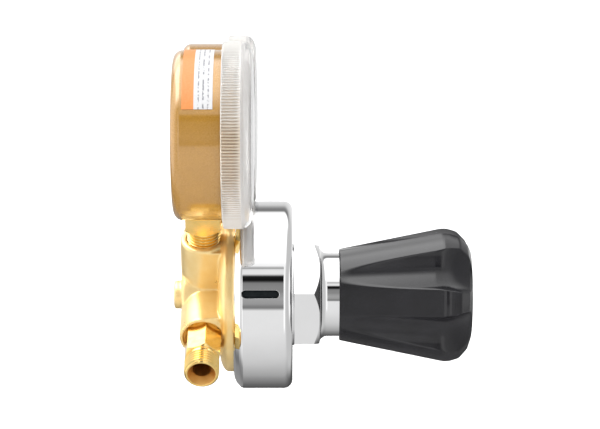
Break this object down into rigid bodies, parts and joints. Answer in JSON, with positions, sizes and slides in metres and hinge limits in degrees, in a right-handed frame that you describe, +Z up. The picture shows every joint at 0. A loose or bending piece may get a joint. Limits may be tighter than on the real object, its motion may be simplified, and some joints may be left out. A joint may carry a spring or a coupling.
{
  "type": "two-gauge gas regulator",
  "caption": "Brass gas pressure regulator with a chrome bonnet, a fluted black adjusting knob, two gold-cased gauges with clear lenses and two hose unions.",
  "frame": {"origin": "centre of the flat rear boss of the brass body, on the adjusting axis", "axes": "+X along the adjusting axis from the body to the knob, +Z up towards the gauges, +Y towards the inlet side"},
  "size_m": [0.1152, 0.144, 0.1355],
  "materials": {
    "forged_brass": "forged, bead-blasted and polished",
    "machined_brass": "machined",
    "chrome": "bright plated",
    "black_plastic": "satin moulded",
    "gold_paint": "metallic satin",
    "clear_plastic": "clear moulded polycarbonate",
    "steel": "zinc plated",
    "spring_steel": "oiled",
    "aluminium": "turned",
    "rubber": "matt",
    "seat_plastic": "machined",
    "dial_paint": "matt white",
    "pointer_paint": "matt black",
    "bronze": "sintered",
    "tube_bronze": "drawn",
    "label": "printed sticker"
  },
  "bodies": {
    "regulator": {"body": "forged_brass", "bonnet": "chrome", "diaphragm": "rubber", "slip_ring": "seat_plastic", "adjusting_spring": "spring_steel", "valve_spring": "spring_steel", "valve_nozzle": "machined_brass", "outlet_union": "machined_brass", "inlet_union": "machined_brass", "inlet_filter": "bronze", "gauge_label": "label", "outlet_gauge_case": "gold_paint", "outlet_gauge_socket": "machined_brass", "outlet_gauge_case_screws": "steel", "outlet_gauge_bourdon_tube": "tube_bronze", "outlet_gauge_movement_frame": "machined_brass", "outlet_gauge_movement_screws": "steel", "outlet_gauge_dial": "dial_paint", "outlet_gauge_dial_screws": "steel", "outlet_gauge_lens_gasket": "rubber", "outlet_gauge_lens": "clear_plastic", "inlet_gauge_case": "gold_paint", "inlet_gauge_socket": "machined_brass", "inlet_gauge_case_screws": "steel", "inlet_gauge_bourdon_tube": "tube_bronze", "inlet_gauge_movement_frame": "machined_brass", "inlet_gauge_movement_screws": "steel", "inlet_gauge_dial": "dial_paint", "inlet_gauge_dial_screws": "steel", "inlet_gauge_lens_gasket": "rubber", "inlet_gauge_lens": "clear_plastic"},
    "diaphragm_centre": {"diaphragm_plate": "aluminium", "diaphragm_button": "machined_brass"},
    "valve": {"valve_stem": "machined_brass", "valve_seat": "seat_plastic"},
    "screw_travel": {"spring_button": "steel"},
    "knob": {"adjusting_knob": "black_plastic", "knob_cap": "black_plastic", "adjusting_screw": "steel"},
    "outlet_pointer": {"outlet_gauge_pointer": "pointer_paint", "outlet_gauge_pinion_arbor": "steel"},
    "outlet_sector": {"outlet_gauge_sector": "machined_brass"},
    "outlet_link": {"outlet_gauge_link": "machined_brass"},
    "inlet_pointer": {"inlet_gauge_pointer": "pointer_paint", "inlet_gauge_pinion_arbor": "steel"},
    "inlet_sector": {"inlet_gauge_sector": "machined_brass"},
    "inlet_link": {"inlet_gauge_link": "machined_brass"}
  },
  "joints": [
    {"name": "diaphragm_slide", "type": "slide", "parent": "regulator", "child": "diaphragm_centre", "axis": [-1, 0, 0], "range_m": [0, 0.0008], "stiffness_N_per_m": 2500, "deforming": ["diaphragm"]},
    {"name": "valve_slide", "type": "slide", "parent": "regulator", "child": "valve", "axis": [-1, 0, 0], "range_m": [0, 0.0008], "deforming": ["valve_spring"]},
    {"name": "screw_slide", "type": "slide", "parent": "regulator", "child": "screw_travel", "axis": [-1, 0, 0], "range_m": [0, 0.006], "deforming": ["adjusting_spring"]},
    {"name": "knob_turn", "type": "hinge", "parent": "screw_travel", "child": "knob", "pos_m": [0.09, 0, 0], "axis": [-1, 0, 0], "range_deg": [0, 1440]},
    {"name": "outlet_pointer_turn", "type": "hinge", "parent": "regulator", "child": "outlet_pointer", "pos_m": [0.024, -0.03725, 0.06452], "axis": [-1, 0, 0], "range_deg": [0, 270], "stiffness_Nm_per_rad": 0.0005, "deforming": ["outlet_gauge_bourdon_tube"]},
    {"name": "outlet_sector_turn", "type": "hinge", "parent": "regulator", "child": "outlet_sector", "pos_m": [0.0193, -0.02975, 0.05153], "axis": [1, 0, 0], "range_deg": [0, 30]},
    {"name": "outlet_link_turn", "type": "hinge", "parent": "outlet_sector", "child": "outlet_link", "pos_m": [0.0184, -0.03599, 0.04793], "axis": [-1, 0, 0], "range_deg": [0, 30]},
    {"name": "inlet_pointer_turn", "type": "hinge", "parent": "regulator", "child": "inlet_pointer", "pos_m": [0.024, 0.03725, 0.06452], "axis": [-1, 0, 0], "range_deg": [0, 270], "stiffness_Nm_per_rad": 0.0005, "deforming": ["inlet_gauge_bourdon_tube"]},
    {"name": "inlet_sector_turn", "type": "hinge", "parent": "regulator", "child": "inlet_sector", "pos_m": [0.0193, 0.02975, 0.05153], "axis": [1, 0, 0], "range_deg": [0, 30]},
    {"name": "inlet_link_turn", "type": "hinge", "parent": "inlet_sector", "child": "inlet_link", "pos_m": [0.0184, 0.02352, 0.05513], "axis": [-1, 0, 0], "range_deg": [0, 30]}
  ],
  "couplings": [
    {"joint": "screw_slide", "follows": "knob_turn", "m_per_rad": 0.00023873},
    {"joint": "valve_slide", "follows": "diaphragm_slide", "ratio": 1},
    {"joint": "outlet_sector_turn", "follows": "outlet_pointer_turn", "ratio": 0.11111},
    {"joint": "outlet_link_turn", "follows": "outlet_pointer_turn", "ratio": 0.11111},
    {"joint": "inlet_sector_turn", "follows": "inlet_pointer_turn", "ratio": 0.11111},
    {"joint": "inlet_link_turn", "follows": "inlet_pointer_turn", "ratio": 0.11111}
  ]
}
